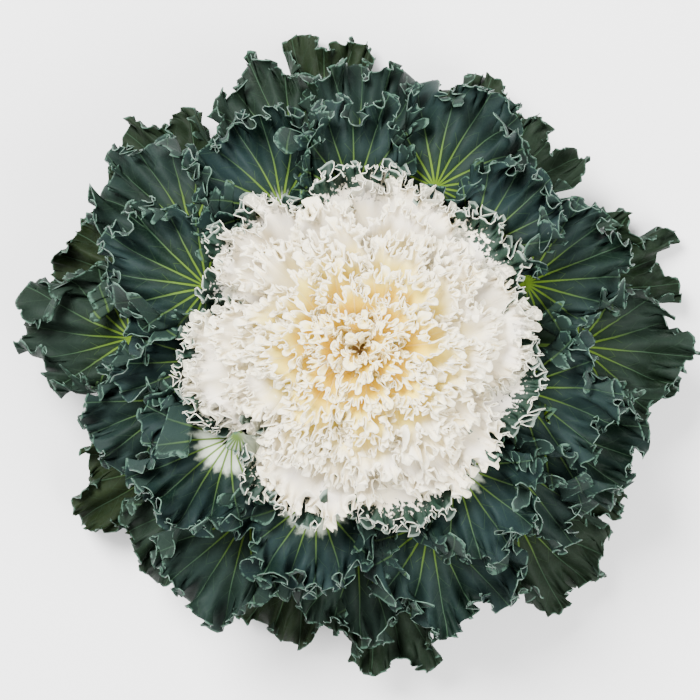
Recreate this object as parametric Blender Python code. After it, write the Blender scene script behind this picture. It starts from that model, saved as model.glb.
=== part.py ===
"""Ornamental kale, cut at the foot of its stem and standing on the cut face and its lowest leaves.

One stem carries every leaf. Each leaf lies on a shell, a surface turned about the stem from an arc
that leaves the stem and bends over outwards. Shells are stacked by level, so leaves on different
levels never cross, and leaves on one level are far enough apart round the stem to stay clear.
All lengths are in metres, with +Z up and the origin at the centre of the cut face.
"""

import math
import random

import bmesh
import bpy
import numpy as np

MM = 0.001
SEED = 58

# The stem, cut flat at the bottom
STEM_FOOT_RADIUS = 12.5 * MM
STEM_TOP_RADIUS = 14.5 * MM
STEM_HEIGHT = 77 * MM
STEM_CHAMFER = 1 * MM
STEM_SIDES = 40
SEAT_GAP = 0.3 * MM

# Green leaves on shells from level 0, the lowest, to the top level: each pair is the lowest
# shell's value and the highest shell's
TOP_GREEN_LEVEL = 7
GREEN_BASE_HEIGHTS = (12 * MM, 66 * MM)
GREEN_TIP_RADII = (150 * MM, 118 * MM)
GREEN_TIP_HEIGHTS = (4.5 * MM, 99 * MM)
GREEN_HALF_TURNS = (30, 37)

# One leaf: a petiole that narrows to a share of the blade's half width, then a blade that fans out
# from the petiole's end and takes up the last share of the leaf's length
PETIOLE_THICKNESS = 4 * MM
BLADE_THICKNESS = 0.8 * MM
PETIOLE_FOOT_HALF_WIDTH = 3.4 * MM
HUB_SHARE = 0.075
BLADE_SHARE = 0.64
MARGIN_SWEEP = math.radians(158)
SHOULDER = 0.55
RIB_HALF_WIDTH = 0.25
SWELL = 1.2 * MM
SWELLS = 4
RUFFLED_FROM = 0.8
BLADE_ROWS = (0.42, RUFFLED_FROM, 1.0)
SMALL_BLADE_ROWS = (0.7, 1.0)
COLUMNS_PER_WAVE = 4
GREEN_RUFFLE = 4.4 * MM
GREEN_SCALLOP = 0.04
GROUND_CLEARANCE = 0.6 * MM

# Azimuth in degrees, level, reach from the stem's axis and half width of the blade in millimetres
GREEN_LEAVES = (
    (41, 7, 111, 27), (93, 7, 110, 25), (159, 7, 122, 29), (214, 7, 116, 31), (310, 7, 111, 30),
    (66, 6, 130, 31), (118, 6, 117, 34), (185, 6, 107, 27), (254, 6, 112, 32), (347, 6, 118, 29),
    (21, 5, 129, 29), (236, 5, 141, 30), (292, 5, 134, 36), (337, 5, 137, 28),
    (90, 4, 130, 28), (146, 4, 142, 31), (195, 4, 130, 27), (322, 4, 132, 28),
    (2, 3, 156, 30), (109, 3, 140, 27), (178, 3, 158, 30), (269, 3, 134, 28),
    (49, 2, 136, 29), (223, 2, 143, 28), (276, 2, 151, 30), (313, 2, 155, 30),
    (63, 1, 141, 26), (136, 1, 149, 29), (211, 1, 151, 28),
    (15, 0, 153, 28), (100, 0, 149, 27), (163, 0, 151, 28), (255, 0, 143, 28), (332, 0, 146, 27),
)

# Rings of the heart: base radius and height, tip radius and height in millimetres, half turn in
# degrees, number of leaves, azimuth of the first in degrees, half width and ruffle in millimetres
HEART_RINGS = {
    "outer_low": (14.5, 70.4, 82, 110.5, 33, 7, 86, 25, 2.8),
    "outer_high": (14.5, 75.2, 76, 117.5, 30, 6, 10, 25, 2.8),
    "middle_low": (12.0, 82.5, 64, 124, 26, 11, 5, 14.5, 2.6),
    "middle_high": (10.0, 88.5, 50, 131, 21, 9, 28, 13.5, 2.6),
    "centre_low": (8.0, 97.0, 35, 136, 15, 7, 12, 11.5, 2.2),
    "centre_high": (5.0, 102.0, 19.5, 139.5, 9, 5, 40, 8.0, 1.6),
    "bud": (2.5, 106.0, 8, 140.5, 4, 3, 0, 5.0, 0.8),
}
HEART_SCALLOP = 0.06
HEART_PETIOLE_THICKNESS = 2.4 * MM
HEART_PETIOLE_FOOT_HALF_WIDTH = 2.2 * MM
ROOT_DEPTH = 3 * MM

# Cores that the fused leaves of the heart stand on: radius and height at foot and top, millimetres
MIDDLE_CORE = ((13.5, 77.3), (13.2, 82.0), (9.6, 91.0))
CENTRE_CORE = ((9.4, 91.3), (8.8, 96.0), (5.8, 102.0), (2.0, 108.0))
CORE_SIDES = 20
SHARP_ANGLE = math.radians(35)

GREEN = (0.035, 0.075, 0.060, 1.0)
STEM_GREEN = (0.42, 0.47, 0.30, 1.0)
WHITE = (0.86, 0.85, 0.79, 1.0)
CREAM = (0.90, 0.80, 0.52, 1.0)


def between(pair, share):
    return pair[0] + (pair[1] - pair[0]) * share


def material(name, colour, roughness):
    made = bpy.data.materials.new(name)
    made.use_nodes = True
    shader = made.node_tree.nodes["Principled BSDF"]
    shader.inputs["Base Color"].default_value = colour
    shader.inputs["Roughness"].default_value = roughness
    shader.inputs["Metallic"].default_value = 0.0
    made.diffuse_color = colour
    return made


class Shell:
    """An arc in the plane of radius and height that a leaf's middle line follows from the stem."""

    def __init__(self, base, tip, half_turn):
        chord = math.dist(base, tip)
        rise = math.atan2(tip[1] - base[1], tip[0] - base[0])
        self.base = base
        self.start = rise + half_turn
        self.bend = 2 * math.sin(half_turn) / chord

    def along(self, radius):
        """Length along the arc at which it reaches this radius."""
        sine = math.sin(self.start) - self.bend * (radius - self.base[0])
        return (self.start - math.asin(max(-1.0, min(1.0, sine)))) / self.bend

    def place(self, length, lift):
        """Radius and height at a length along the arc, lifted off it at right angles."""
        angle = self.start - self.bend * length
        radius = self.base[0] + (math.sin(self.start) - np.sin(angle)) / self.bend
        height = self.base[1] + (np.cos(angle) - math.cos(self.start)) / self.bend
        return radius - lift * np.sin(angle), height + lift * np.cos(angle)


def green_shell(level):
    share = level / TOP_GREEN_LEVEL
    height = between(GREEN_BASE_HEIGHTS, share)
    radius = stem_radius(height) + SEAT_GAP
    tip = (between(GREEN_TIP_RADII, share), between(GREEN_TIP_HEIGHTS, share))
    half_turn = math.radians(between(GREEN_HALF_TURNS, share))
    shell = Shell((radius, height), tip, half_turn)
    inset = PETIOLE_THICKNESS / 2 * math.sin(shell.start)
    return Shell((radius + inset, height), tip, half_turn)


def stem_radius(height):
    return between((STEM_FOOT_RADIUS, STEM_TOP_RADIUS), height / STEM_HEIGHT)


def leaf_blank(columns, rows, doublings):
    """A flat strip of faces, x from -1 to 1 across and y from 0 to rows along, whose number of
    columns doubles from each row named in doublings up to the margin."""
    part_of_row = 0.1
    blank = bmesh.new()
    bmesh.ops.create_grid(blank, x_segments=columns, y_segments=rows, size=1.0)
    for vert in blank.verts:
        vert.co.y = round((vert.co.y + 1) / 2 * rows)
    for first_row in doublings:
        across = [
            edge for edge in blank.edges
            if abs(edge.verts[0].co.y - edge.verts[1].co.y) < part_of_row
            and edge.verts[0].co.y > first_row - part_of_row
        ]
        bmesh.ops.subdivide_edges(blank, edges=across, cuts=1)
    bmesh.ops.triangulate(blank, faces=blank.faces[:])
    return blank


def leaf_mesh(name, shell, size, blank_plan, azimuth, phase):
    """Bends a blank into one leaf: a petiole from the stem, then a fan that ends in a ruffled
    margin. The fan share is 0 on the petiole and 1 at the margin. Returns the mesh and each
    vertex's thickness."""
    columns, row_shares, doublings = blank_plan
    blank = leaf_blank(columns, len(row_shares) + 1, doublings)
    mesh = bpy.data.meshes.new(name)
    blank.to_mesh(mesh)
    blank.free()
    flat = np.empty(len(mesh.vertices) * 3)
    mesh.vertices.foreach_get("co", flat)
    across, row = flat.reshape(-1, 3)[:, 0], flat.reshape(-1, 3)[:, 1]
    fan = np.interp(row, range(1, len(row_shares) + 2), (0.0, *row_shares))

    tip = shell.along(size["reach"])
    half_length = tip * BLADE_SHARE / 2
    hub = tip - 2 * half_length
    sweep = MARGIN_SWEEP * across
    waves = columns * 2 ** len(doublings) / COLUMNS_PER_WAVE
    wave = np.cos(math.pi * waves * across + phase)
    scallop = 1 + size["scallop"] * np.cos(2 * math.pi * waves * across)
    widest = 1 + SHOULDER * SHOULDER / 2
    margin_x = size["half_width"] * np.sin(sweep) * (1 + SHOULDER * np.cos(sweep)) / widest
    margin_x = margin_x * scallop
    margin_y = hub + half_length * (1 + np.cos(sweep)) * scallop

    on_petiole = np.clip(row, 0, 1)
    petiole = between((size["petiole_foot"], HUB_SHARE * size["half_width"]), on_petiole)
    x = across * petiole * (1 - fan) + margin_x * fan
    y = between((-size["root"], hub), on_petiole) * (1 - fan) + margin_y * fan
    depth = np.minimum(np.hypot(margin_x, margin_y - hub) / half_length, 1)
    lift = size["ruffle"] * depth * wave * np.clip(fan - RUFFLED_FROM, 0, 1) / (1 - RUFFLED_FROM)
    lift += SWELL * depth ** 2 * np.sin(fan * math.pi) * np.cos(math.pi * SWELLS * across)

    middle_radius = shell.place(y, 0.0)[0]
    turn = azimuth + x / np.maximum(middle_radius, size["petiole_radius"])
    radius, height = shell.place(y, lift)
    height = np.maximum(height, GROUND_CLEARANCE)
    points = np.stack([radius * np.cos(turn), radius * np.sin(turn), height], axis=1)
    mesh.vertices.foreach_set("co", points.ravel())

    rib = np.clip(1 - np.abs(across) / RIB_HALF_WIDTH, 0, 1) * (1 - fan) ** 2
    stalk = 1 - np.abs(across) * on_petiole
    thickness = size["thickness"] * np.where(fan > 0, rib, stalk)
    return mesh, np.maximum(BLADE_THICKNESS, thickness)


def leaf_object(name, shell, size, blank_plan, azimuth, phase, finish):
    mesh, thickness = leaf_mesh(name, shell, size, blank_plan, azimuth, phase)
    mesh.materials.append(finish)
    leaf = bpy.data.objects.new(name, mesh)
    bpy.context.scene.collection.objects.link(leaf)
    group = leaf.vertex_groups.new(name="thickness")
    for index, value in enumerate(thickness):
        group.add([index], float(value / size["thickness"]), "REPLACE")
    wall = leaf.modifiers.new("wall", "SOLIDIFY")
    wall.thickness = size["thickness"]
    wall.offset = 0.0
    wall.vertex_group = "thickness"
    return leaf


def turned(name, outline, sides, finish):
    """A solid turned about the z axis from an outline of radius and height, foot first."""
    solid = bmesh.new()
    rings = []
    for radius, height in outline:
        ring = bmesh.ops.create_circle(solid, cap_ends=False, radius=radius, segments=sides)
        bmesh.ops.translate(solid, verts=ring["verts"], vec=(0, 0, height))
        rings.append({edge for vert in ring["verts"] for edge in vert.link_edges})
    for lower, upper in zip(rings, rings[1:]):
        bmesh.ops.bridge_loops(solid, edges=list(lower | upper))
    for ring in (rings[0], rings[-1]):
        bmesh.ops.contextual_create(solid, geom=list(ring))
    bmesh.ops.recalc_face_normals(solid, faces=solid.faces[:])
    mesh = bpy.data.meshes.new(name)
    solid.to_mesh(mesh)
    solid.free()
    mesh.materials.append(finish)
    mesh.shade_smooth()
    mesh.set_sharp_from_angle(angle=SHARP_ANGLE)
    made = bpy.data.objects.new(name, mesh)
    bpy.context.scene.collection.objects.link(made)
    return made


def make_stem(finish):
    outline = (
        (STEM_FOOT_RADIUS - STEM_CHAMFER, 0.0),
        (STEM_FOOT_RADIUS, STEM_CHAMFER),
        (STEM_TOP_RADIUS, STEM_HEIGHT - STEM_CHAMFER),
        (STEM_TOP_RADIUS - STEM_CHAMFER, STEM_HEIGHT),
    )
    turned("stem", outline, STEM_SIDES, finish)


def make_green_leaves(finish, draw):
    plan = (4, BLADE_ROWS, (2, 3, 4))
    for number, (azimuth, level, reach, half_width) in enumerate(GREEN_LEAVES, start=1):
        shell = green_shell(level)
        size = {
            "reach": reach * MM,
            "half_width": half_width * MM,
            "ruffle": GREEN_RUFFLE,
            "scallop": GREEN_SCALLOP,
            "petiole_foot": PETIOLE_FOOT_HALF_WIDTH,
            "petiole_radius": STEM_TOP_RADIUS,
            "thickness": PETIOLE_THICKNESS,
            "root": 0.0,
        }
        phase = draw.uniform(0, 2 * math.pi)
        name = f"green_leaf_{number:02d}"
        leaf_object(name, shell, size, plan, math.radians(azimuth), phase, finish)


def heart_leaves(ring, root, name, plan, finish, draw):
    """The leaves of one ring of the heart, evenly spaced round the stem. A ring with no root stands
    clear of the stem by the seat's gap, and its leaves are not fused to anything."""
    base_radius, base_height, reach, tip_height, bow = HEART_RINGS[ring][:5]
    count, first, half_width, ruffle = HEART_RINGS[ring][5:]
    base = (base_radius * MM, base_height * MM)
    tip = (reach * MM, tip_height * MM)
    half_turn = math.radians(bow)
    shell = Shell(base, tip, half_turn)
    if root == 0.0:
        seat = SEAT_GAP + HEART_PETIOLE_THICKNESS / 2 * math.sin(shell.start)
        shell = Shell((base[0] + seat, base[1]), tip, half_turn)
    size = {
        "reach": tip[0],
        "half_width": half_width * MM,
        "ruffle": ruffle * MM,
        "scallop": HEART_SCALLOP,
        "petiole_foot": HEART_PETIOLE_FOOT_HALF_WIDTH,
        "petiole_radius": shell.base[0],
        "thickness": HEART_PETIOLE_THICKNESS,
        "root": root,
    }
    made = []
    for number in range(count):
        azimuth = math.radians(first + 360 * number / count)
        phase = draw.uniform(0, 2 * math.pi)
        leaf_name = f"{name}_{number + 1:02d}"
        made.append(leaf_object(leaf_name, shell, size, plan, azimuth, phase, finish))
    return made


def largest_shell(mesh):
    """Keeps the mesh's largest connected skin, which fills a pocket that fusing has sealed and
    drops a loose scrap."""
    work = bmesh.new()
    work.from_mesh(mesh)
    unseen = set(work.faces)
    skins = []
    while unseen:
        front = [unseen.pop()]
        skin = list(front)
        while front:
            beside = {near for edge in front.pop().edges for near in edge.link_faces}
            fresh = beside & unseen
            unseen -= fresh
            front += fresh
            skin += fresh
        skins.append(skin)
    skins.sort(key=len)
    scraps = [face for skin in skins[:-1] for face in skin]
    bmesh.ops.delete(work, geom=scraps, context="FACES")
    work.to_mesh(mesh)
    work.free()


def fuse(core, leaves):
    """Joins leaves to the core that they stand on, as one closed body."""
    gathered = bpy.data.collections.new(core.name + "_leaves")
    bpy.context.scene.collection.children.link(gathered)
    for leaf in leaves:
        bpy.context.scene.collection.objects.unlink(leaf)
        gathered.objects.link(leaf)
    join = core.modifiers.new("join", "BOOLEAN")
    join.operation = "UNION"
    join.operand_type = "COLLECTION"
    join.collection = gathered
    join.solver = "MANIFOLD"
    bpy.context.view_layer.update()
    evaluated = core.evaluated_get(bpy.context.evaluated_depsgraph_get())
    joined = bpy.data.meshes.new_from_object(evaluated)
    largest_shell(joined)
    core.modifiers.clear()
    core.data = joined
    for leaf in leaves:
        bpy.data.objects.remove(leaf)
    bpy.data.collections.remove(gathered)


def core_outline(points):
    return [(radius * MM, height * MM) for radius, height in points]


def make_heart(white, cream, draw):
    outer_plan = (3, BLADE_ROWS, (2, 3, 4))
    inner_plan = (3, SMALL_BLADE_ROWS, (2, 3))
    heart_leaves("outer_low", 0.0, "white_leaf_low", outer_plan, white, draw)
    heart_leaves("outer_high", 0.0, "white_leaf_high", outer_plan, white, draw)
    middle = []
    for ring in ("middle_low", "middle_high"):
        middle += heart_leaves(ring, ROOT_DEPTH, ring, inner_plan, white, draw)
    fuse(turned("heart_middle", core_outline(MIDDLE_CORE), CORE_SIDES, white), middle)
    centre = []
    for ring in ("centre_low", "centre_high", "bud"):
        centre += heart_leaves(ring, ROOT_DEPTH, ring, inner_plan, cream, draw)
    fuse(turned("heart_centre", core_outline(CENTRE_CORE), CORE_SIDES, cream), centre)


def make_kale():
    for leftover in list(bpy.data.objects):
        bpy.data.objects.remove(leftover)
    draw = random.Random(SEED)
    make_stem(material("stem", STEM_GREEN, 0.6))
    make_green_leaves(material("green_leaf", GREEN, 0.5), draw)
    make_heart(material("white_leaf", WHITE, 0.5), material("cream_leaf", CREAM, 0.5), draw)


make_kale()
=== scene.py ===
"""The looks of an ornamental kale head seen from above: frilled blue-green leaves with pale veins
round a white and cream heart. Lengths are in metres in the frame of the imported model, and the
tables of leaves, rings and frills give theirs in millimetres."""

import math
import random

import bmesh
import bpy
import numpy as np
from mathutils import Matrix


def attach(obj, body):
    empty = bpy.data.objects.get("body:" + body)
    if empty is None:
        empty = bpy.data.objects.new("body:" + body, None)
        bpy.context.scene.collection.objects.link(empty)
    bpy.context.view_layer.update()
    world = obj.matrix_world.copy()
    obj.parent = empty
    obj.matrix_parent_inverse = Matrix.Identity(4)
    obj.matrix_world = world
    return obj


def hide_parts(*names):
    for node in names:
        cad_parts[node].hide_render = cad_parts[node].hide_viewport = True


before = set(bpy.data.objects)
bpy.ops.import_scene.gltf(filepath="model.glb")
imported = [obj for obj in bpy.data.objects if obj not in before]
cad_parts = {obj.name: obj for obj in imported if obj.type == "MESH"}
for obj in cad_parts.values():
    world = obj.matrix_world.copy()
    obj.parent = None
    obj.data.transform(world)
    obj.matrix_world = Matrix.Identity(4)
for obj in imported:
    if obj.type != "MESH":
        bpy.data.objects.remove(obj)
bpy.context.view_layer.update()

# The stem: one fleshy pale green stalk, cut square where the head was taken from its root, with
# a woody ring under the skin and a moist pale pith. Every leaf grows from its side.

MM = 0.001
# The heights between which cut face turns to skin, and the radii between which the woody ring in
# the cut face comes and goes
CUT_EDGE = (0.6 * MM, 0.2 * MM)
WOOD_COMES = (8.5 * MM, 9.5 * MM)
WOOD_GOES = (11 * MM, 10.4 * MM)


class Value:
    """A number that changes over a surface. Arithmetic on it adds Math nodes to its finish."""

    def __init__(self, finish, socket):
        self.finish = finish
        self.socket = socket

    def maths(self, operation, first, second=0.0):
        made = self.finish.node("ShaderNodeMath", {"operation": operation}, {0: first, 1: second})
        return Value(self.finish, made.outputs[0])

    def __add__(self, other):
        return self.maths("ADD", self, other)

    def __radd__(self, other):
        return self.maths("ADD", other, self)

    def __sub__(self, other):
        return self.maths("SUBTRACT", self, other)

    def __rsub__(self, other):
        return self.maths("SUBTRACT", other, self)

    def __mul__(self, other):
        return self.maths("MULTIPLY", self, other)

    def __rmul__(self, other):
        return self.maths("MULTIPLY", other, self)

    def __truediv__(self, other):
        return self.maths("DIVIDE", self, other)

    def __abs__(self):
        return self.maths("ABSOLUTE", self)

    def least(self, other):
        return self.maths("MINIMUM", self, other)

    def most(self, other):
        return self.maths("MAXIMUM", self, other)

    def rounded(self):
        return self.maths("ROUND", self)

    def sine(self):
        return self.maths("SINE", self)

    def bearing(self, forward):
        return self.maths("ARCTAN2", self, forward)

    def root(self):
        return self.maths("SQRT", self)

    def rise(self, low, high):
        """0 below low and 1 above high, with a smooth step between. It falls where low > high."""
        settings = {"interpolation_type": "SMOOTHSTEP"}
        inputs = {"Value": self, "From Min": low, "From Max": high}
        return Value(self.finish, self.finish.node("ShaderNodeMapRange", settings, inputs).outputs[0])


class Finish:
    """A material put together from nodes round one Principled shader."""

    def __init__(self, name, **fixed):
        self.material = bpy.data.materials.new(name)
        self.material.use_nodes = True
        self.tree = self.material.node_tree
        self.shader = self.tree.nodes["Principled BSDF"]
        for socket, value in fixed.items():
            self.shader.inputs[socket.replace("_", " ")].default_value = value

    def node(self, kind, settings, inputs):
        """Adds a node, makes its settings, then gives its sockets their values or links."""
        made = self.tree.nodes.new(kind)
        for setting, value in settings.items():
            setattr(made, setting, value)
        by_identifier = {socket.identifier: socket for socket in made.inputs}
        for key, value in inputs.items():
            self.feed(made.inputs[key] if isinstance(key, int) else by_identifier[key], value)
        return made

    def feed(self, socket, value):
        if isinstance(value, Value):
            value = value.socket
        if isinstance(value, bpy.types.NodeSocket):
            self.tree.links.new(value, socket)
        else:
            socket.default_value = value

    def mix(self, share, first, second):
        """The colour that goes from first to second as share goes from 0 to 1."""
        inputs = {"Factor_Float": share, "A_Color": first, "B_Color": second}
        made = self.node("ShaderNodeMix", {"data_type": "RGBA"}, inputs)
        return next(socket for socket in made.outputs if socket.identifier == "Result_Color")

    def attribute(self, name):
        made = self.node("ShaderNodeAttribute", {"attribute_name": name}, {})
        return Value(self, made.outputs["Fac"])

    def place(self):
        return self.node("ShaderNodeTexCoord", {}, {}).outputs["Object"]

    def parts(self, vector):
        """The three numbers of a vector."""
        made = self.node("ShaderNodeSeparateXYZ", {}, {0: vector})
        return [Value(self, socket) for socket in made.outputs]

    def noise(self, where, scale, detail):
        inputs = {"Vector": where, "Scale": scale, "Detail": detail}
        return Value(self, self.node("ShaderNodeTexNoise", {}, inputs).outputs[0])

    def net(self, where, scale):
        """Distance to the nearest line of an irregular net."""
        settings = {"feature": "DISTANCE_TO_EDGE"}
        made = self.node("ShaderNodeTexVoronoi", settings, {"Vector": where, "Scale": scale})
        return Value(self, made.outputs["Distance"])

    def bump(self, height, distance, strength):
        inputs = {"Height": height, "Distance": distance, "Strength": strength}
        self.feed(self.shader.inputs["Normal"], self.node("ShaderNodeBump", {}, inputs).outputs[0])

    def colour(self, colour):
        self.feed(self.shader.inputs["Base Color"], colour)


def stem_finish():
    """Pale green skin with fine grain along the stalk, and a cream pith on the cut face."""
    finish = Finish("stem", Roughness=0.55)
    where = finish.place()
    x, y, height = finish.parts(where)
    radius = (x * x + y * y).root()
    stretched = finish.node(
        "ShaderNodeVectorMath", {"operation": "MULTIPLY"}, {0: where, 1: (1.0, 1.0, 0.12)}
    )
    grain = finish.noise(stretched.outputs[0], 420.0, 4.0)
    blotch = finish.noise(where, 60.0, 3.0)
    skin = finish.mix(grain.rise(0.35, 0.7), (0.22, 0.27, 0.12, 1), (0.42, 0.46, 0.26, 1))
    skin = finish.mix(blotch.rise(0.45, 0.7) * 0.6, skin, (0.33, 0.27, 0.16, 1))
    pith = finish.mix(grain.rise(0.3, 0.8), (0.62, 0.62, 0.42, 1), (0.74, 0.72, 0.55, 1))
    wood = radius.rise(*WOOD_COMES) * radius.rise(*WOOD_GOES)
    cut = finish.mix(wood * 0.7, pith, (0.36, 0.36, 0.17, 1))
    finish.colour(finish.mix(height.rise(*CUT_EDGE), skin, cut))
    finish.bump(grain, distance=0.5 * MM, strength=0.6)
    return finish.material


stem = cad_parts["stem"]
stem.data.materials.clear()
stem.data.materials.append(stem_finish())

# The green leaves: thirty-four waxy blue-green blades on pale ribs, thin as card. Each bends out
# over the ones below it, and its margin grew faster than the rest, so it crimps into a frill.

# The stem's radii at its foot and at its top, and the gap between it and the leaves
STEM_RADII = (12.5 * MM, 14.5 * MM)
STEM_HEIGHT = 77 * MM
SEAT_GAP = 0.3 * MM
GROUND_CLEARANCE = 0.5 * MM
# Each pair goes from the lowest level to the highest. The half turns are in degrees. The veins'
# feet lie this far out from the foot of the blade, as a share of half the blade's length
TOP_GREEN_LEVEL = 7
GREEN_BASE_HEIGHTS = (12 * MM, 66 * MM)
GREEN_TIP_RADII = (150 * MM, 118 * MM)
GREEN_TIP_HEIGHTS = (4.5 * MM, 99 * MM)
GREEN_HALF_TURNS = (30, 37)
GREEN_VEIN_FEET = (0.9, 0.66)
GREEN_RIB_ANGLE = math.radians(17)
# The blade's share of a leaf's length, and the half width of the petiole's end as a share of the
# blade's half width
BLADE_SHARE = 0.64
HUB_SHARE = 0.075
# A blade's outline is an oval left open at the petiole and broader towards the tip
MARGIN_SWEEP = math.radians(158)
MARGIN_POINTS = 500
SHOULDER = 0.55
# The folds between the ribs begin at these distances from the veins' foot, and die out this far
# in from the margin
FOLD_START = (6 * MM, 22 * MM)
FOLD_END = 12 * MM
WARP_PITCH = 70 * MM
# The midrib is thicker than the blade over this share of the leaf's width
MIDRIB_SHARE = 0.25
# One unit of the flat map that the veins are laid out on, and the veins' branches: the angle at
# which they leave a rib, how far apart they leave it in those units and how plainly they show
LEAF_MAP_SIZE = 100 * MM
BRANCH_ANGLE = math.radians(36.87)
BRANCH_STEP = 0.105
BRANCH_STRENGTH = 0.4
# Frills of a crisp young margin: depth, pitch, height, reach and lean in millimetres
GREEN_FRILLS = (
    (26, 20, 5.0, 4.0, 4.0),
    (19, 7.6, 4.2, 3.8, 2.4),
    (12, 3.2, 2.5, 2.4, 1.1),
)
# Dark skin and the bloom on it while a leaf is young and when it is old, the bloom brightened
# in places by painted sheen, then a rib's colours from its foot to its tip
YOUNG_GREENS = ((0.0022, 0.0078, 0.0054, 1), (0.0108, 0.0215, 0.0222, 1))
OLD_GREENS = ((0.0045, 0.0086, 0.0018, 1), (0.0115, 0.0180, 0.0068, 1))
RIB_GREENS = ((0.105, 0.185, 0.014, 1), (0.026, 0.053, 0.030, 1))
# Azimuth in degrees, level, reach from the stem's axis and half width of the blade in millimetres,
# then how white the blade's foot is and how old and olive the leaf has grown, both from 0 to 1
GREEN_LEAVES = (
    (41, 7, 111, 27, 0.0, 0.0),
    (93, 7, 110, 25, 0.2, 0.1),
    (159, 7, 122, 29, 0.0, 0.1),
    (214, 7, 116, 31, 0.9, 0.0),
    (310, 7, 111, 30, 0.8, 0.0),
    (66, 6, 130, 31, 0.0, 0.1),
    (118, 6, 117, 34, 0.3, 0.0),
    (185, 6, 107, 27, 0.1, 0.0),
    (254, 6, 112, 32, 1.0, 0.0),
    (347, 6, 118, 29, 0.3, 0.1),
    (21, 5, 129, 29, 0.0, 0.2),
    (236, 5, 141, 30, 0.0, 0.3),
    (292, 5, 134, 36, 0.3, 0.1),
    (337, 5, 137, 28, 0.0, 0.2),
    (90, 4, 130, 28, 0.0, 0.3),
    (146, 4, 142, 31, 0.0, 0.3),
    (195, 4, 130, 27, 0.0, 0.2),
    (322, 4, 132, 28, 0.0, 0.3),
    (2, 3, 152, 30, 0.0, 0.5),
    (109, 3, 140, 27, 0.0, 0.5),
    (178, 3, 156, 30, 0.0, 0.5),
    (269, 3, 134, 28, 0.0, 0.4),
    (49, 2, 136, 29, 0.0, 0.7),
    (223, 2, 143, 28, 0.0, 0.6),
    (276, 2, 151, 30, 0.0, 0.7),
    (313, 2, 155, 30, 0.0, 0.7),
    (63, 1, 141, 26, 0.0, 0.8),
    (136, 1, 149, 29, 0.0, 0.8),
    (211, 1, 151, 28, 0.0, 1.0),
    (15, 0, 153, 28, 0.0, 0.7),
    (100, 0, 149, 27, 0.0, 0.9),
    (163, 0, 151, 28, 0.0, 1.0),
    (255, 0, 143, 28, 0.0, 0.9),
    (332, 0, 146, 27, 0.0, 0.8),
)
# What all the green leaves share
GREEN_SHAPE = {
    "blade_share": BLADE_SHARE,
    "petiole_radius": STEM_RADII[1],
    "root": 0.0,
    "thickness": 4 * MM,
    "blade": 0.4 * MM,
    "lobe_pitch": 30 * MM,
    "wave": 3.0 * MM,
    "wave_pitch": 30 * MM,
    "tooth_depth": 5.0 * MM,
    "vein_angle": GREEN_RIB_ANGLE,
    "fold": 1.4 * MM,
    "curl_depth": 14 * MM,
    "warp": 1.6 * MM,
}


def between(pair, share):
    return pair[0] + (pair[1] - pair[0]) * share


def ramp(value, low, high):
    """0 below low and 1 above high, with a smooth step between, for numbers in an array."""
    share = np.clip((value - low) / (high - low), 0, 1)
    return share * share * (3 - 2 * share)


def fade(inset, depth):
    """1 at the margin, falling to 0 at this depth in from it."""
    return np.clip(1 - inset / depth, 0, 1)


class Shell:
    """An arc in the plane of radius and height that a leaf's middle line follows from the stem."""

    def __init__(self, base, tip, half_turn):
        chord = math.dist(base, tip)
        rise = math.atan2(tip[1] - base[1], tip[0] - base[0])
        self.base = base
        self.start = rise + half_turn
        self.bend = 2 * math.sin(half_turn) / chord

    def along(self, radius):
        """Length along the arc at which it reaches this radius."""
        sine = math.sin(self.start) - self.bend * (radius - self.base[0])
        return (self.start - math.asin(max(-1.0, min(1.0, sine)))) / self.bend

    def place(self, length, lift):
        """Radius and height at a length along the arc, lifted off it at right angles."""
        angle = self.start - self.bend * length
        radius = self.base[0] + (math.sin(self.start) - np.sin(angle)) / self.bend
        height = self.base[1] + (np.cos(angle) - math.cos(self.start)) / self.bend
        return radius - lift * np.sin(angle), height + lift * np.cos(angle)


class Margin:
    """The outline of a flat blade, from one side of its foot round the tip to the other side."""

    def __init__(self, half_width, half_length):
        sweep = np.linspace(-MARGIN_SWEEP, MARGIN_SWEEP, MARGIN_POINTS)
        widest = 1 + SHOULDER * SHOULDER / 2
        self.x = half_width * np.sin(sweep) * (1 + SHOULDER * np.cos(sweep)) / widest
        self.y = half_length * (1 + np.cos(sweep))
        steps = np.hypot(np.diff(self.x), np.diff(self.y))
        self.run = np.concatenate([[0], np.cumsum(steps)])

    def spot(self, length):
        """The point at a length along the margin."""
        return np.interp(length, self.run, self.x), np.interp(length, self.run, self.y)

    def direction(self, length):
        """Which way the margin runs at a length along it."""
        slope_x = np.gradient(self.x, self.run)
        slope_y = np.gradient(self.y, self.run)
        return np.interp(length, self.run, slope_x), np.interp(length, self.run, slope_y)


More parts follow.
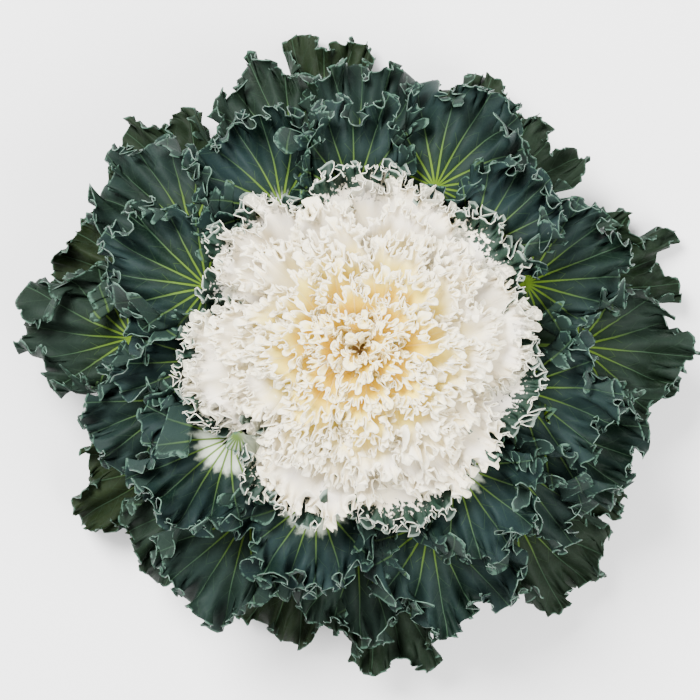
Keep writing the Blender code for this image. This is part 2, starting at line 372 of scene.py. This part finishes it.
class Blank:
    """A flat strip of faces that leaves are bent from: across goes from -1 to 1, stalk from 0 to 1
    up the petiole and fan from 0 at its end to 1 at the margin. Its columns double at some rows."""

    def __init__(self, name, columns, stalk_rows, fan_rows, doublings):
        rows = stalk_rows + len(fan_rows) - 1
        strip = bmesh.new()
        bmesh.ops.create_grid(strip, x_segments=columns, y_segments=rows, size=1.0)
        for vert in strip.verts:
            vert.co.y = round((vert.co.y + 1) / 2 * rows)
        for share in doublings:
            first_row = stalk_rows + fan_rows.index(share)
            lines = [
                edge for edge in strip.edges
                if abs(edge.verts[0].co.y - edge.verts[1].co.y) < 0.1
                and edge.verts[0].co.y > first_row - 0.1
            ]
            bmesh.ops.subdivide_edges(strip, edges=lines, cuts=1)
        bmesh.ops.triangulate(strip, faces=[face for face in strip.faces if len(face.verts) > 4])
        self.mesh = bpy.data.meshes.new(name)
        strip.to_mesh(self.mesh)
        strip.free()
        flat = np.empty(len(self.mesh.vertices) * 3)
        self.mesh.vertices.foreach_get("co", flat)
        self.across = flat.reshape(-1, 3)[:, 0]
        row = flat.reshape(-1, 3)[:, 1]
        self.stalk = np.clip(row / stalk_rows, 0, 1)
        self.fan = np.interp(row - stalk_rows, range(len(fan_rows)), fan_rows)


def ripple(length, pitch, draw):
    """A wavering height along the margin, of about this pitch, mostly between -1 and 1."""
    total = 0 * length
    for _ in range(4):
        near = pitch * draw.uniform(0.7, 1.4)
        total = total + np.sin(2 * math.pi * length / near + draw.uniform(0, 2 * math.pi))
    return total / 2


def crimp(length, pitch, draw):
    """The loops of a frill of about this pitch: how far they rise, and how far they lean along the
    margin so that each loop is wider than its neck."""
    turn = 2 * math.pi * length / pitch + 1.4 * ripple(length, 3.5 * pitch, draw)
    size = np.clip(0.85 + 0.4 * ripple(length, 3 * pitch, draw), 0.25, 1.6)
    return np.sin(turn) * size, np.sin(2 * turn) * size


def toothed(length, pitch, draw):
    """Pointed teeth of about this pitch along the margin, near 0 between them and 1 at a point."""
    turn = math.pi * length / pitch + 0.9 * ripple(length, 4 * pitch, draw)
    return (1 - np.abs(np.sin(turn))) * (1 + 0.5 * ripple(length, 3 * pitch, draw))


def frill_sizes(frills, crisp=1.0):
    """Frills in metres, from ones in millimetres, flatter on a margin that is less crisp."""
    return [
        (depth * MM, pitch * MM, height * crisp * MM, reach * crisp * MM, lean * crisp * MM)
        for depth, pitch, height, reach, lean in frills
    ]


def frilled(leaf, length, inset, room, fan, draw):
    """How far the lobes, waves, upturned rim, frills and teeth of a margin carry each spot of a
    leaf outward from the blade, along the margin and up off the blade."""
    outward = leaf["lobe"] * room * fan ** 2 * ripple(length, leaf["lobe_pitch"], draw)
    along = 0 * length
    lift = leaf["wave"] * room * fan ** 2 * ripple(length, leaf["wave_pitch"], draw)
    turned_up = fade(inset, leaf["curl_depth"]) ** 1.5 * room
    turned_up = turned_up * (1 + 0.6 * ripple(length, leaf["wave_pitch"], draw))
    lift = lift + leaf["curl"] * turned_up
    outward = outward - 0.7 * leaf["curl"] * turned_up ** 2
    for depth, pitch, height, reach, lean in leaf["frills"]:
        strip = fade(inset, depth) * np.clip(room * 1.3, 0, 1) * (fan > 0)
        up, over = crimp(length, pitch, draw)
        lift = lift + height * strip ** 1.3 * up
        outward = outward - reach * strip ** 1.6 * up
        along = along - lean * strip ** 2 * over
    teeth = fade(inset, leaf["tooth_depth"]) * (fan > 0) * np.clip(room * 2, 0, 1)
    outward = outward + leaf["tooth"] * teeth * toothed(length, leaf["tooth_pitch"], draw)
    return outward, along, lift


def folded(leaf, lift, x, y, vein_y, inset, fan, draw):
    """The lift of each spot once the blade is folded between its ribs, cupped and warped too."""
    distance = np.hypot(x, vein_y)
    vein = np.arctan2(x, vein_y) / leaf["vein_angle"]
    fold = np.cos(2 * math.pi * vein) * ramp(distance, *FOLD_START) * ramp(inset, 0.0, FOLD_END)
    lift = lift - leaf["fold"] * fold * fan
    lift = lift - leaf["cup"] * (x / leaf["half_width"]) ** 2 * fan
    return lift + leaf["warp"] * fan * ripple(x + 2 * y, WARP_PITCH, draw)


def store_facts(mesh, x, y, facts):
    """Gives a leaf its flat map, and each vertex a number for every fact, for a finish to read."""
    corners = np.empty(len(mesh.loops), dtype=np.int32)
    mesh.loops.foreach_get("vertex_index", corners)
    spots = np.stack([x, y], axis=1) / LEAF_MAP_SIZE
    mesh.uv_layers.new(name="leaf").data.foreach_set("uv", spots[corners].ravel())
    for fact, value in facts.items():
        numbers = np.broadcast_to(value, x.shape).astype(np.float32)
        mesh.attributes.new(fact, "FLOAT", "POINT").data.foreach_set("value", numbers)


def bent_leaf(name, blank, shell, leaf, azimuth, draw):
    """One leaf bent from a blank, and its thickness at each vertex: a stalk, then a fan whose
    margin turns up and is frilled. leaf holds its sizes."""
    mesh = blank.mesh.copy()
    mesh.name = name
    across, stalk, fan = blank.across, blank.stalk, blank.fan
    tip = shell.along(leaf["reach"])
    half_length = tip * leaf["blade_share"] / 2
    hub = tip - 2 * half_length
    margin = Margin(leaf["half_width"], half_length)
    length = (across + 1) / 2 * margin.run[-1]
    margin_x, margin_y = margin.spot(length)
    fan_length = np.hypot(margin_x, margin_y)
    inset = (1 - fan) * fan_length
    room = ramp(fan_length, 0.0, 0.9 * half_length)

    x = across * between(leaf["petiole"], stalk) * (1 - fan) + margin_x * fan
    y = between((-leaf["root"], hub), stalk) * (1 - fan) + (hub + margin_y) * fan
    outward, along, lift = frilled(leaf, length, inset, room, fan, draw)
    along_x, along_y = margin.direction(length)
    x = x + along_x * along - along_y * outward
    y = y + along_y * along + along_x * outward
    vein_y = y - hub - leaf["vein_foot"] * half_length
    lift = folded(leaf, lift, x, y, vein_y, inset, fan, draw)

    middle_radius = shell.place(y, 0.0)[0]
    turn = azimuth - x / np.maximum(middle_radius, leaf["petiole_radius"])
    turn = turn + leaf["twist"] * (y / tip) ** 2
    radius, height = shell.place(y, lift)
    height = np.maximum(height, GROUND_CLEARANCE)
    points = np.stack([radius * np.cos(turn), radius * np.sin(turn), height], axis=1)
    mesh.vertices.foreach_set("co", points.ravel())
    store_facts(mesh, x, vein_y, {"inset": inset / MM, **leaf["facts"]})

    rib = np.clip(1 - np.abs(across) / MIDRIB_SHARE, 0, 1) * (1 - fan) ** 2
    round_stalk = np.sqrt(1 - 0.9 * across ** 2)
    thickness = leaf["thickness"] * np.where(fan > 0, rib, round_stalk)
    return mesh, np.maximum(leaf["blade"], thickness)


def thick_leaf(name, blank, shell, leaf, azimuth, draw, finishes):
    """A bent leaf with its thickness, its upper face, lower face and rim each in a finish."""
    mesh, thickness = bent_leaf(name, blank, shell, leaf, azimuth, draw)
    for finish in finishes:
        mesh.materials.append(finish)
    mesh.shade_smooth()
    made = bpy.data.objects.new(name, mesh)
    bpy.context.scene.collection.objects.link(made)
    group = made.vertex_groups.new(name="thickness")
    shares = np.round(thickness / leaf["thickness"], 2)
    for share in np.unique(shares):
        group.add(np.nonzero(shares == share)[0].tolist(), float(share), "REPLACE")
    wall = made.modifiers.new("wall", "SOLIDIFY")
    wall.thickness = leaf["thickness"]
    wall.offset = 0.0
    wall.vertex_group = "thickness"
    wall.material_offset = 1
    wall.material_offset_rim = 2
    bpy.context.view_layer.update()
    evaluated = made.evaluated_get(bpy.context.evaluated_depsgraph_get())
    made.data = bpy.data.meshes.new_from_object(evaluated)
    made.modifiers.clear()
    return made


def vein_lines(finish, rib_angle, foot_width, tip_width, branch_width):
    """Ribs that fan out from a leaf's foot and send off slanting branches. Returns how much of a
    spot is vein, its distance from the foot, and its share of the way from a rib to the next, from
    0 to 0.5. Widths and distances are in leaf map units."""
    spot = finish.node("ShaderNodeUVMap", {"uv_map": "leaf"}, {}).outputs[0]
    x, y, _ = finish.parts(spot)
    ahead = y.rise(-0.03, 0.015)
    wobble = finish.noise(finish.place(), 22.0, 1.0)
    distance = (x * x + y * y).root()
    line = x.bearing(y) / rib_angle + 0.5 * (wobble - 0.5)
    aside = abs(line - line.rounded())
    from_rib = aside * rib_angle * distance
    width = tip_width + (foot_width - tip_width) * distance.rise(0.5, 0.0)
    rib = (from_rib / width).rise(1.0, 0.5) * ahead
    midrib = (abs(x) / foot_width).rise(1.6, 1.0) * y.rise(0.01, -0.01)
    rib = rib.most(midrib)

    side = (line * 2.0 + 0.5).rounded()
    stagger = 0.45 * (side * 5.3).sine()
    along = (distance - from_rib / math.tan(BRANCH_ANGLE)) / BRANCH_STEP + stagger
    from_branch = abs(along - along.rounded()) * (BRANCH_STEP * math.sin(BRANCH_ANGLE))
    branch = (from_branch / branch_width).rise(1.0, 0.3) * distance.rise(0.06, 0.16)
    branch = branch * BRANCH_STRENGTH * ahead
    return rib.most(branch.least(1.0).most(0.0)), distance, aside


def green_finish(name, under=False):
    """The waxy skin of a green leaf: a grey-blue bloom over dark green, brighter between the ribs
    as painted sheen on the domes, olive where the leaf is old, pale yellow-green ribs with a fine
    net between them, and a pale edge, partly its own colour and partly painted highlight."""
    finish = Finish(name, Roughness=0.55, Specular_IOR_Level=0.06)
    where = finish.place()
    vein, distance, aside = vein_lines(
        finish, GREEN_RIB_ANGLE, foot_width=0.0060, tip_width=0.0024, branch_width=0.0014
    )
    age = finish.attribute("age")
    pale = finish.attribute("pale")
    inset = finish.attribute("inset")
    cloud = finish.noise(where, 38.0, 3.0)
    speckle = finish.noise(where, 420.0, 3.0)
    fine_net = finish.net(where, 520.0).rise(0.12, 0.0)

    # Bloom: partly real wax, partly painted sheen on the domes midway between the ribs
    bloom_and_sheen = (cloud + 0.5 * aside).rise(0.35, 0.85)
    blade = finish.mix(age, finish.mix(bloom_and_sheen, *YOUNG_GREENS), finish.mix(bloom_and_sheen, *OLD_GREENS))
    blade = finish.mix(speckle.rise(0.4, 0.75) * 0.15, blade, (0.013, 0.024, 0.020, 1))
    near_foot = distance.rise(0.30, 0.0)
    blade = finish.mix(near_foot * 0.3, blade, (0.012, 0.034, 0.004, 1))
    blade = finish.mix(fine_net * 0.12, blade, (0.020, 0.040, 0.022, 1))
    streaks = 0.06 * aside + 0.12 * (cloud - 0.5) + 0.05 * (speckle - 0.5)
    white_foot = (pale * 0.15 - distance + streaks).rise(-0.03, 0.03)
    blade = finish.mix(white_foot * pale.rise(0.1, 0.4), blade, (0.50, 0.56, 0.44, 1))
    rib = finish.mix(distance.rise(0.0, 0.36), *RIB_GREENS)
    skin = finish.mix(vein * (0.95 - 0.3 * age), blade, rib)
    if under:
        skin = finish.mix(0.45, skin, (0.018, 0.032, 0.025, 1))
    # Pale edge: partly the margin's own paler colour, partly painted highlight on the frill loops
    edge = inset.rise(1.1, 0.3) * speckle.rise(0.42, 0.56)
    finish.colour(finish.mix(edge * 0.8, skin, (0.060, 0.120, 0.086, 1)))
    relief = (1 - vein) * 0.6 + (1 - fine_net) * 0.12 + speckle * 0.15
    finish.bump(relief, distance=0.35 * MM, strength=0.6)
    return finish.material


def rim_finish(name, colour, shade):
    """The thin edge of a blade, palest of all its skin: partly its own pale margin, partly painted
    highlight where the frill loops catch the light. Between its pale patches only this share of
    their brightness is left."""
    finish = Finish(name, Roughness=0.5)
    mottle = finish.noise(finish.place(), 260.0, 3.0)
    darker = tuple(part * shade for part in colour[:3]) + (1,)
    # Pale patches: partly the rim's own colour, partly painted highlight on the frill loops
    finish.colour(finish.mix(mottle.rise(0.38, 0.62), darker, colour))
    return finish.material


def stem_radius(height):
    return between(STEM_RADII, height / STEM_HEIGHT)


def green_shell(level, petiole):
    share = level / TOP_GREEN_LEVEL
    height = between(GREEN_BASE_HEIGHTS, share)
    radius = stem_radius(height) + SEAT_GAP
    tip = (between(GREEN_TIP_RADII, share), between(GREEN_TIP_HEIGHTS, share))
    half_turn = math.radians(between(GREEN_HALF_TURNS, share))
    inset = petiole / 2 * math.sin(Shell((radius, height), tip, half_turn).start)
    return Shell((radius + inset, height), tip, half_turn)


green_finishes = (
    green_finish("green_leaf_upper"),
    green_finish("green_leaf_lower", under=True),
    rim_finish("green_leaf_rim", (0.080, 0.150, 0.110, 1), shade=0.25),
)
green_blank = Blank(
    "green_blank", columns=17, stalk_rows=3,
    fan_rows=(0, 0.1, 0.22, 0.36, 0.5, 0.62, 0.72, 0.8, 0.865, 0.92, 0.96, 0.985, 1.0),
    doublings=(0.22, 0.5, 0.72, 0.865, 0.96),
)
draw = random.Random(7)
for number, (azimuth, level, reach, half_width, pale, age) in enumerate(GREEN_LEAVES, start=1):
    leaf = {
        **GREEN_SHAPE,
        "reach": reach * MM,
        "half_width": half_width * MM,
        "petiole": (3.4 * MM, HUB_SHARE * half_width * MM),
        "lobe": between((3.0 * MM, 5.0 * MM), age),
        "frills": frill_sizes(GREEN_FRILLS, crisp=1 - 0.55 * age),
        "tooth": between((0.9 * MM, 2.8 * MM), age),
        "tooth_pitch": between((2.2 * MM, 4.6 * MM), age),
        "vein_foot": between(GREEN_VEIN_FEET, level / TOP_GREEN_LEVEL),
        "curl": draw.uniform(2, 7) * MM,
        "cup": draw.uniform(0.5, 5) * MM,
        "twist": math.radians(draw.uniform(-4, 4)),
        "facts": {"age": age, "pale": pale},
    }
    shell = green_shell(level, leaf["thickness"])
    turn = math.radians(azimuth)
    made = thick_leaf(f"leaf_{number:02d}", green_blank, shell, leaf, turn, draw, green_finishes)
    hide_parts(f"green_leaf_{number:02d}")
    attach(made, "root")

# The white leaves: thirteen broad blades round the heart, ivory white and soft as felt. The
# lowest of them are half grown out to green, so their frills are tinged with it.

WHITE_RIB_ANGLE = math.radians(18)
# Rings of leaves: base radius and height, tip radius and height in millimetres, half turn in
# degrees, number of leaves, azimuth of the first in degrees and half width in millimetres
OUTER_RINGS = {
    "white_leaf_low": (14.5, 70.4, 82, 110.5, 33, 7, 86, 31),
    "white_leaf_high": (14.5, 75.2, 76, 117.5, 30, 6, 10, 30),
}
# How much green tinges the frills of each ring's leaves, least and most
TINGES = {"white_leaf_low": (0.8, 1.2), "white_leaf_high": (0, 0.3)}
# Frills, with their numbers in the order given above
WHITE_FRILLS = (
    (13, 7.0, 3.2, 2.2, 2.0),
    (9, 3.0, 2.1, 1.6, 1.0),
    (4.5, 1.5, 1.1, 1.0, 0.3),
)
# The blade's whites, then the yellows that it turns through in the depths of the heart, partly
# its own colour and partly painted warm light that comes through the leaves, and a brown painted
# as shade between the innermost leaves
WHITES = ((0.84, 0.79, 0.71, 1), (0.94, 0.85, 0.64, 1))
YELLOWS = ((0.95, 0.79, 0.18, 1), (0.88, 0.61, 0.00, 1))
DEEP_PAINTED_SHADE = (0.40, 0.22, 0.02, 1)
# What all thirteen leaves share
WHITE_SHAPE = {
    "blade_share": BLADE_SHARE,
    "root": 0.0,
    "thickness": 2.4 * MM,
    "blade": 0.35 * MM,
    "lobe": 2.0 * MM,
    "lobe_pitch": 22 * MM,
    "wave": 2.2 * MM,
    "wave_pitch": 22 * MM,
    "frills": frill_sizes(WHITE_FRILLS),
    "tooth": 1.0 * MM,
    "tooth_depth": 2.5 * MM,
    "tooth_pitch": 1.4 * MM,
    "vein_foot": 0.1,
    "vein_angle": WHITE_RIB_ANGLE,
    "fold": 0.5 * MM,
    "curl_depth": 10 * MM,
    "warp": 1.0 * MM,
}


def white_finish(name):
    """The matt skin of a heart leaf: white, cream to yellow in the depths, the yellow partly its own
    colour and partly painted warm light, and brown painted shade at the very bottom; green-tinged
    at the frill where the leaf is half green, with ribs only a little paler than the blade. It has
    a painted glow in the depths, an emission standing in for the light that comes through thin
    leaves."""
    # Emission: a painted glow in the depths
    finish = Finish(name, Roughness=0.6, Specular_IOR_Level=0.3, Emission_Strength=0.15)
    where = finish.place()
    vein, _, _ = vein_lines(
        finish, WHITE_RIB_ANGLE, foot_width=0.006, tip_width=0.002, branch_width=0.002
    )
    glow = finish.attribute("glow")
    tinge = finish.attribute("tinge")
    inset = finish.attribute("inset")
    cloud = finish.noise(where, 60.0, 3.0)
    speckle = finish.noise(where, 500.0, 3.0)
    blade = finish.mix(cloud.rise(0.3, 0.7), *WHITES)
    # Yellow of the depths: partly the heart's own colour, partly painted warm light through leaves
    warm = (glow + 0.3 * (cloud - 0.5)).rise(0.0, 0.9)
    blade = finish.mix(warm.rise(0.0, 0.5), blade, YELLOWS[0])
    blade = finish.mix(warm.rise(0.5, 1.0), blade, YELLOWS[1])
    # Painted shade: brown at the feet of the innermost leaves, deepest in the heart
    blade = finish.mix(glow.rise(1.1, 1.4), blade, DEEP_PAINTED_SHADE)
    skin = finish.mix(vein * 0.2, blade, (0.95, 0.92, 0.84, 1))
    frill = inset.rise(5.0, 0.5) * (1 - 0.5 * warm)
    skin = finish.mix(frill * 0.8, skin, (0.97, 0.90, 0.68, 1))
    mottle = inset + 14.0 * (cloud - 0.5) + 30.0 * (speckle - 0.5)
    green = (tinge * 2.0).least(1.0) * (mottle - 8.0 * tinge).rise(3.0, 0.0)
    skin = finish.mix(green, skin, (0.009, 0.027, 0.017, 1))
    # Pale edge on green-tinged frills: partly their own colour, partly painted highlight on the loops
    edge = tinge * inset.rise(1.2, 0.4)
    colour = finish.mix(edge * 0.6, skin, (0.30, 0.38, 0.32, 1))
    finish.colour(colour)
    # Painted glow: emission in the depths, for the light that comes through the thin leaves
    finish.feed(finish.shader.inputs["Emission Color"], finish.mix(warm, (0, 0, 0, 1), colour))
    finish.bump((1 - vein) * 0.5 + speckle * 0.2, distance=0.5 * MM, strength=0.5)
    return finish.material


def ring_shell(numbers, seat):
    base_radius, base_height, tip_radius, tip_height, half_turn = numbers[:5]
    base = (base_radius * MM + seat, base_height * MM)
    return Shell(base, (tip_radius * MM, tip_height * MM), math.radians(half_turn))


white_skin = white_finish("heart_leaf_skin")
white_rim = rim_finish("heart_leaf_rim", (0.97, 0.91, 0.74, 1), shade=0.85)
white_finishes = (white_skin, white_skin, white_rim)
white_blank = Blank(
    "white_blank", columns=16, stalk_rows=3,
    fan_rows=(0, 0.12, 0.26, 0.4, 0.53, 0.64, 0.74, 0.82, 0.88, 0.925, 0.955, 0.98, 1.0),
    doublings=(0.26, 0.53, 0.74, 0.88, 0.955),
)
for ring, numbers in OUTER_RINGS.items():
    count, first, half_width = numbers[5:]
    slant = math.sin(ring_shell(numbers, 0.0).start)
    shell = ring_shell(numbers, SEAT_GAP + WHITE_SHAPE["thickness"] / 2 * slant)
    for number in range(count):
        leaf = {
            **WHITE_SHAPE,
            "reach": numbers[2] * MM,
            "half_width": half_width * MM,
            "petiole": (2.2 * MM, HUB_SHARE * half_width * MM),
            "petiole_radius": shell.base[0],
            "curl": draw.uniform(1, 4) * MM,
            "cup": draw.uniform(-3, 2) * MM,
            "twist": math.radians(draw.uniform(-4, 4)),
            # glow: painted warm light and glow of the depths, strongest at the leaf's foot
            "facts": {"glow": 0.35 * (1 - white_blank.fan), "tinge": draw.uniform(*TINGES[ring])},
        }
        turn = math.radians(first + 360 * number / count)
        name = f"{ring.replace('white_leaf', 'rim_leaf')}_{number + 1:02d}"
        made = thick_leaf(name, white_blank, shell, leaf, turn, draw, white_finishes)
        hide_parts(f"{ring}_{number + 1:02d}")
        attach(made, "root")

# The heart: some sixty small cupped leaves packed round the growing point, white outside and cream
# to yellow in the depths, partly painted light, each ending in a thick frill of fine teeth.

# The cone of the growing point, from its foot to its tip, and the heights between which its tip
# browns
CORE_HEIGHTS = (77.3 * MM, 104 * MM)
CORE_RADII = (12 * MM, 2.2 * MM)
CORE_BROWNS = (99 * MM, 103 * MM)
# Rings of the heart: the middle or the centre of the heart, whichever holds them, then the same
# numbers as above
HEART_RINGS = {
    "middle_1": ("heart_middle", 12.0, 82.5, 64, 124, 26, 11, 5, 14.5),
    "middle_2": ("heart_middle", 11.0, 85.5, 57, 128, 23, 10, 24, 14.0),
    "middle_3": ("heart_middle", 10.0, 88.5, 50, 131, 21, 9, 28, 13.5),
    "middle_4": ("heart_middle", 9.0, 92.0, 42, 134, 18, 8, 5, 12.5),
    "centre_1": ("heart_centre", 8.0, 97.0, 35, 136, 15, 7, 12, 11.5),
    "centre_2": ("heart_centre", 6.5, 99.5, 27, 138, 12, 6, 40, 10.0),
    "centre_3": ("heart_centre", 5.0, 102.0, 19.5, 139.5, 9, 5, 40, 8.0),
    "centre_4": ("heart_centre", 3.5, 104.0, 13, 140.5, 6, 4, 10, 6.0),
    "bud": ("heart_centre", 2.0, 106.0, 7, 140.5, 4, 3, 0, 4.0),
}
# The half width of the heart's widest leaves, and the reaches of leaves over which the depths'
# yellow, painted glow and painted shade die out, in millimetres
WIDEST_HEART_LEAF = 14.5
GLOW_REACHES = (12.0, 80.0)
# What all the heart's leaves share
HEART_SHAPE = {
    "blade_share": 0.6,
    "root": 2 * MM,
    "thickness": 2.0 * MM,
    "blade": 0.3 * MM,
    "lobe_pitch": 14 * MM,
    "wave_pitch": 16 * MM,
    "tooth": 0.9 * MM,
    "tooth_depth": 2.0 * MM,
    "tooth_pitch": 1.2 * MM,
    "vein_foot": 0.1,
    "vein_angle": WHITE_RIB_ANGLE,
    "fold": 0.3 * MM,
    "curl_depth": 8 * MM,
    "warp": 0.8 * MM,
}


def heart_frills(small):
    """The frills of a heart leaf whose width is this share of the widest one's."""
    return frill_sizes((
        (9 * small, 5.2, 2.4 * small, 1.7 * small, 1.5),
        (6.5 * small, 2.6, 1.7, 1.3, 0.8),
        (3.5, 1.3, 1.0, 0.9, 0.3),
    ))


def joined(name, leaves):
    """One object that holds the meshes of all these leaves."""
    whole = bmesh.new()
    for leaf in leaves:
        whole.from_mesh(leaf.data)
    mesh = bpy.data.meshes.new(name)
    whole.to_mesh(mesh)
    whole.free()
    for finish in leaves[0].data.materials:
        mesh.materials.append(finish)
    for leaf in leaves:
        bpy.data.objects.remove(leaf)
    made = bpy.data.objects.new(name, mesh)
    bpy.context.scene.collection.objects.link(made)
    return made


def growing_point():
    """The upper end of the stem, a pale cone that the heart's leaves grow from, brown at its tip."""
    cone = bmesh.new()
    low, high = CORE_HEIGHTS
    middle = Matrix.Translation((0, 0, (low + high) / 2))
    bmesh.ops.create_cone(
        cone, cap_ends=True, cap_tris=True, segments=48,
        radius1=CORE_RADII[0], radius2=CORE_RADII[1], depth=high - low, matrix=middle,
    )
    mesh = bpy.data.meshes.new("growing_point")
    cone.to_mesh(mesh)
    cone.free()
    finish = Finish("growing_point", Roughness=0.6)
    height = finish.parts(finish.place())[2]
    ripe = height.rise(*CORE_BROWNS)
    finish.colour(finish.mix(ripe, (0.70, 0.62, 0.30, 1), (0.24, 0.13, 0.03, 1)))
    mesh.materials.append(finish.material)
    made = bpy.data.objects.new("growing_point", mesh)
    bpy.context.scene.collection.objects.link(made)
    return made


point = growing_point()
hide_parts("heart_centre")
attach(point, "root")

heart_blank = Blank(
    "heart_blank", columns=12, stalk_rows=2,
    fan_rows=(0, 0.2, 0.4, 0.54, 0.66, 0.76, 0.84, 0.9, 0.95, 1.0),
    doublings=(0.2, 0.4, 0.54, 0.76, 0.9),
)
for ring, (core, *numbers) in HEART_RINGS.items():
    base_radius, base_height, tip_radius, tip_height, half_turn, count, first, half_width = numbers
    small = half_width / WIDEST_HEART_LEAF
    leaves = []
    for number in range(count):
        reach = tip_radius * draw.uniform(0.93, 1.05)
        height = tip_height + draw.uniform(-2.5, 2.0)
        shell = ring_shell((base_radius, base_height, reach, height, half_turn), 0.0)
        # How deep a leaf lies: it drives the depths' yellow, painted glow and, deepest, painted shade
        depth = 1 - ramp(reach, *GLOW_REACHES)
        fan = heart_blank.fan
        leaf = {
            **HEART_SHAPE,
            "reach": reach * MM,
            "half_width": half_width * draw.uniform(0.9, 1.15) * MM,
            "petiole": (2.2 * small * MM, HUB_SHARE * half_width * MM),
            "petiole_radius": base_radius * MM,
            "lobe": 1.6 * small * MM,
            "wave": 2.0 * small * MM,
            "frills": heart_frills(small),
            "curl": draw.uniform(0, 3) * small * MM,
            "cup": -draw.uniform(1, 4) * small * MM,
            "twist": math.radians(draw.uniform(-8, 8)),
            "facts": {"glow": depth * (1 - 0.6 * fan ** 2) + 0.3 * (1 - fan), "tinge": 0.0},
        }
        turn = math.radians(first + 360 * (number + draw.uniform(-0.18, 0.18)) / count)
        name = f"{ring}_{number}"
        leaves.append(thick_leaf(name, heart_blank, shell, leaf, turn, draw, white_finishes))
    made = joined(f"heart_{ring}", leaves)
    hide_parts(core)
    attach(made, "root")

# The floor: a plain pale matt sheet that the head stands on, with its lowest leaves just clear
# of it.

FLOOR_SIZE = 6.0
FLOOR_COLOUR = (0.93, 0.93, 0.93, 1)
sheet = bmesh.new()
bmesh.ops.create_grid(sheet, x_segments=1, y_segments=1, size=FLOOR_SIZE / 2)
floor_mesh = bpy.data.meshes.new("floor")
sheet.to_mesh(floor_mesh)
sheet.free()
floor = bpy.data.objects.new("floor", floor_mesh)
bpy.context.scene.collection.objects.link(floor)
floor_mesh.materials.append(Finish("floor", Base_Color=FLOOR_COLOUR, Roughness=0.9).material)

# The light: one large soft lamp overhead, a weaker one to the side, and a pale even surround.

SURROUND_STRENGTH = 1.15


def lamp(name, place, size, power):
    """A round lamp that faces the foot of the stem."""
    light = bpy.data.lights.new(name, "AREA")
    light.shape = "DISK"
    light.size = size
    light.energy = power
    made = bpy.data.objects.new(name, light)
    made.location = place
    made.rotation_euler = (-made.location).to_track_quat("-Z", "Y").to_euler()
    bpy.context.scene.collection.objects.link(made)


lamp("key_lamp", place=(-0.9, 1.1, 2.0), size=1.2, power=190)
lamp("fill_lamp", place=(1.4, -0.8, 1.6), size=1.6, power=86)
surround = bpy.data.worlds.new("surround")
surround.use_nodes = True
background = surround.node_tree.nodes["Background"]
background.inputs["Color"].default_value = (1, 1, 1, 1)
background.inputs["Strength"].default_value = SURROUND_STRENGTH
bpy.context.scene.world = surround

# The camera: straight above the head, its upper edge towards +Y.

CAMERA_HEIGHT = 1.2
# In millimetres, as the lens is
SENSOR_WIDTH = 36
# The view is this wide at this level, and its middle lies here in X and Y
VIEW_WIDTH = 0.3325
VIEW_LEVEL = 15 * MM
VIEW_MIDDLE = (-4 * MM, -0.5 * MM)
eye = bpy.data.cameras.new("eye")
eye.sensor_width = SENSOR_WIDTH
eye.lens = SENSOR_WIDTH * (CAMERA_HEIGHT - VIEW_LEVEL) / VIEW_WIDTH
camera = bpy.data.objects.new("eye", eye)
camera.location = (*VIEW_MIDDLE, CAMERA_HEIGHT)
bpy.context.scene.collection.objects.link(camera)
bpy.context.scene.camera = camera
